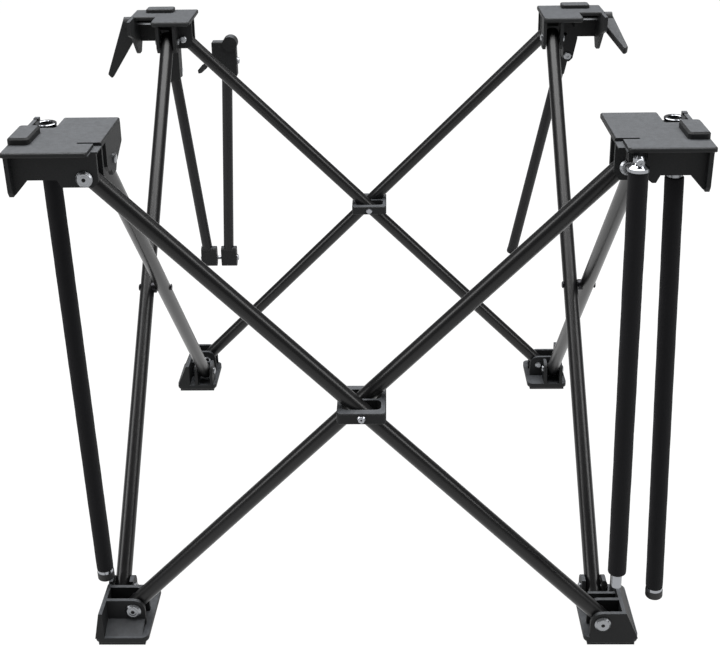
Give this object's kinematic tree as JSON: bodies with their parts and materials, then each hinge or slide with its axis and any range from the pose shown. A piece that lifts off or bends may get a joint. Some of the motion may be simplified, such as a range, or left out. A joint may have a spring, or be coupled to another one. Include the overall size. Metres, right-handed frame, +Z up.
{
  "type": "folding scissor frame",
  "caption": "Low pop-up frame of crossed tubes that folds flat between corner brackets and feet, with hanging foam-sleeved rails and folding rear arms.",
  "frame": {"origin": "middle of the open frame's four pivots, on the floor", "axes": "+X to the right, +Y to the back, +Z up"},
  "size_m": [0.7856, 0.7826, 0.6235],
  "materials": {
    "tube": "gloss black powder coat",
    "moulding": "black nylon moulding, fine texture",
    "pins": "bright plated steel",
    "dark_pins": "blackened steel",
    "foam": "closed-cell foam",
    "rubber": "rubber cap",
    "arm_tube": "satin black",
    "steel": "plain steel tube"
  },
  "bodies": {
    "foot_front_left": {"foot_fl": "moulding", "foot_fl_pins": "pins"},
    "front_inner": {"front_tube_inner": "tube"},
    "front_outer": {"front_tube_outer": "tube"},
    "front_hub": {"front_hub": "moulding", "front_hub_rivet": "pins"},
    "foot_front_right": {"foot_fr": "moulding", "foot_fr_pins": "pins"},
    "top_front_left": {"top_fl": "moulding", "top_fl_pins": "pins", "top_fl_ring": "pins"},
    "top_front_right": {"top_fr": "moulding", "top_fr_pins": "pins", "top_fr_ring": "pins"},
    "left_outer": {"left_tube_outer": "tube", "left_rivet": "dark_pins"},
    "left_inner": {"left_tube_inner": "tube"},
    "foot_back_left": {"foot_bl": "moulding", "foot_bl_pins": "pins"},
    "top_back_left": {"top_bl": "moulding", "top_bl_pins": "pins"},
    "right_inner": {"right_tube_inner": "tube"},
    "right_outer": {"right_tube_outer": "tube", "right_rivet": "dark_pins"},
    "foot_back_right": {"foot_br": "moulding", "foot_br_pins": "pins"},
    "top_back_right": {"top_br": "moulding", "top_br_pins": "pins"},
    "back_outer": {"back_tube_outer": "tube"},
    "back_hub": {"back_hub": "moulding", "back_hub_rivet": "pins"},
    "back_inner": {"back_tube_inner": "tube"},
    "lever_left": {"lever_bl": "moulding", "lever_bl_rod": "pins"},
    "lever_right": {"lever_br": "moulding", "lever_br_rod": "pins"},
    "rail_left": {"rail_fl_tube": "steel", "rail_fl_sleeve": "foam", "rail_fl_collar": "pins", "rail_fl_cap": "rubber"},
    "rail_right": {"rail_fr_tube": "steel", "rail_fr_sleeve": "foam", "rail_fr_collar": "pins", "rail_fr_cap": "rubber"},
    "front_rail": {"pole_fr_ferrule": "pins", "pole_fr_tube": "steel", "pole_fr_sleeve": "foam"},
    "front_rail_plunger": {"pole_fr_plunger": "pins"},
    "arm_left_upper": {"arm_bl_upper_ends": "moulding", "arm_bl_upper": "arm_tube", "arm_bl_elbow_bolt": "pins"},
    "arm_left_lower": {"arm_bl_lower_end": "moulding", "arm_bl_lower": "arm_tube", "arm_bl_clamp": "moulding", "arm_bl_clamp_bolt": "pins"},
    "arm_left_nut": {"arm_bl_wing_nut": "moulding"},
    "arm_right": {"arm_br_ends": "moulding", "arm_br_tube": "arm_tube"},
    "arm_right_nut": {"arm_br_wing_nut": "moulding"}
  },
  "joints": [
    {"name": "fold", "type": "hinge", "parent": "foot_front_left", "child": "front_inner", "pos_m": [-0.276, -0.305, 0.032], "axis": [0, -1, 0], "range_deg": [0, 36]},
    {"name": "front_cross", "type": "hinge", "parent": "front_inner", "child": "front_outer", "pos_m": [0, -0.329, 0.308], "axis": [0, 1, 0], "range_deg": [0, 72]},
    {"name": "front_hub_turn", "type": "hinge", "parent": "front_inner", "child": "front_hub", "pos_m": [0, -0.317, 0.308], "axis": [0, 1, 0], "range_deg": [0, 36]},
    {"name": "foot_front_right_pivot", "type": "hinge", "parent": "front_outer", "child": "foot_front_right", "pos_m": [0.276, -0.329, 0.032], "axis": [0, -1, 0], "range_deg": [0, 36]},
    {"name": "top_front_left_pivot", "type": "hinge", "parent": "front_outer", "child": "top_front_left", "pos_m": [-0.276, -0.329, 0.584], "axis": [0, -1, 0], "range_deg": [0, 36]},
    {"name": "top_front_right_pivot", "type": "hinge", "parent": "front_inner", "child": "top_front_right", "pos_m": [0.276, -0.305, 0.584], "axis": [0, 1, 0], "range_deg": [0, 36]},
    {"name": "left_lift", "type": "hinge", "parent": "foot_front_left", "child": "left_outer", "pos_m": [-0.297, -0.276, 0.032], "axis": [1, 0, 0], "range_deg": [0, 36]},
    {"name": "left_cross", "type": "hinge", "parent": "left_outer", "child": "left_inner", "pos_m": [-0.286, 0, 0.308], "axis": [-1, 0, 0], "range_deg": [0, 72]},
    {"name": "foot_back_left_pivot", "type": "hinge", "parent": "left_inner", "child": "foot_back_left", "pos_m": [-0.275, 0.276, 0.032], "axis": [1, 0, 0], "range_deg": [0, 36]},
    {"name": "top_back_left_pivot", "type": "hinge", "parent": "left_outer", "child": "top_back_left", "pos_m": [-0.297, 0.276, 0.584], "axis": [-1, 0, 0], "range_deg": [0, 36]},
    {"name": "right_lift", "type": "hinge", "parent": "foot_front_right", "child": "right_inner", "pos_m": [0.275, -0.276, 0.032], "axis": [1, 0, 0], "range_deg": [0, 36]},
    {"name": "right_cross", "type": "hinge", "parent": "right_inner", "child": "right_outer", "pos_m": [0.286, 0, 0.308], "axis": [-1, 0, 0], "range_deg": [0, 72]},
    {"name": "foot_back_right_pivot", "type": "hinge", "parent": "right_outer", "child": "foot_back_right", "pos_m": [0.297, 0.276, 0.032], "axis": [1, 0, 0], "range_deg": [0, 36]},
    {"name": "top_back_right_pivot", "type": "hinge", "parent": "right_inner", "child": "top_back_right", "pos_m": [0.275, 0.276, 0.584], "axis": [-1, 0, 0], "range_deg": [0, 36]},
    {"name": "back_lift", "type": "hinge", "parent": "foot_back_left", "child": "back_outer", "pos_m": [-0.276, 0.329, 0.032], "axis": [0, -1, 0], "range_deg": [0, 36]},
    {"name": "back_hub_turn", "type": "hinge", "parent": "back_outer", "child": "back_hub", "pos_m": [0, 0.317, 0.308], "axis": [0, 1, 0], "range_deg": [0, 36]},
    {"name": "back_cross", "type": "hinge", "parent": "back_outer", "child": "back_inner", "pos_m": [0, 0.305, 0.308], "axis": [0, 1, 0], "range_deg": [0, 72]},
    {"name": "lever_left_turn", "type": "hinge", "parent": "top_back_left", "child": "lever_left", "pos_m": [-0.354, 0.33, 0.601], "axis": [-1, 0, 0], "range_deg": [0, 80]},
    {"name": "lever_right_turn", "type": "hinge", "parent": "top_back_right", "child": "lever_right", "pos_m": [0.354, 0.33, 0.601], "axis": [1, 0, 0], "range_deg": [0, 66]},
    {"name": "rail_left_swing", "type": "hinge", "parent": "top_front_left", "child": "rail_left", "pos_m": [-0.325, -0.29, 0.592], "axis": [-1, 0, 0], "range_deg": [0, 45]},
    {"name": "rail_right_swing", "type": "hinge", "parent": "top_front_right", "child": "rail_right", "pos_m": [0.322, -0.325, 0.592], "axis": [1, 0, 0], "range_deg": [0, 50]},
    {"name": "front_rail_swing", "type": "hinge", "parent": "top_front_right", "child": "front_rail", "pos_m": [0.277, -0.364, 0.606], "axis": [0, -1, 0], "range_deg": [0, 60]},
    {"name": "plunger_slide", "type": "slide", "parent": "front_rail", "child": "front_rail_plunger", "axis": [-0.0139, 0, 0.9999], "range_m": [0, 0.015]},
    {"name": "arm_left_swing", "type": "hinge", "parent": "top_back_left", "child": "arm_left_upper", "pos_m": [-0.305, 0.3585, 0.519], "axis": [1, 0, 0], "range_deg": [0, 35]},
    {"name": "arm_left_elbow", "type": "hinge", "parent": "arm_left_upper", "child": "arm_left_lower", "pos_m": [-0.252, 0.3585, 0.199], "axis": [-1, 0, 0], "range_deg": [0, 115]},
    {"name": "arm_left_nut_turn", "type": "hinge", "parent": "arm_left_lower", "child": "arm_left_nut", "pos_m": [-0.2465, 0.3585, 0.534], "axis": [-1, 0, 0], "continuous": true},
    {"name": "arm_right_swing", "type": "hinge", "parent": "top_back_right", "child": "arm_right", "pos_m": [0.308, 0.377, 0.541], "axis": [0, -1, 0], "range_deg": [0, 40]},
    {"name": "arm_right_nut_turn", "type": "hinge", "parent": "top_back_right", "child": "arm_right_nut", "pos_m": [0.308, 0.387, 0.541], "axis": [0, 1, 0], "continuous": true}
  ],
  "couplings": [
    {"joint": "front_cross", "follows": "fold", "ratio": 2},
    {"joint": "front_hub_turn", "follows": "fold", "ratio": 1},
    {"joint": "foot_front_right_pivot", "follows": "fold", "ratio": 1},
    {"joint": "top_front_left_pivot", "follows": "fold", "ratio": 1},
    {"joint": "top_front_right_pivot", "follows": "fold", "ratio": 1},
    {"joint": "left_lift", "follows": "fold", "ratio": 1},
    {"joint": "left_cross", "follows": "fold", "ratio": 2},
    {"joint": "foot_back_left_pivot", "follows": "fold", "ratio": 1},
    {"joint": "top_back_left_pivot", "follows": "fold", "ratio": 1},
    {"joint": "right_lift", "follows": "fold", "ratio": 1},
    {"joint": "right_cross", "follows": "fold", "ratio": 2},
    {"joint": "foot_back_right_pivot", "follows": "fold", "ratio": 1},
    {"joint": "top_back_right_pivot", "follows": "fold", "ratio": 1},
    {"joint": "back_lift", "follows": "fold", "ratio": 1},
    {"joint": "back_hub_turn", "follows": "fold", "ratio": 1},
    {"joint": "back_cross", "follows": "fold", "ratio": 2}
  ]
}
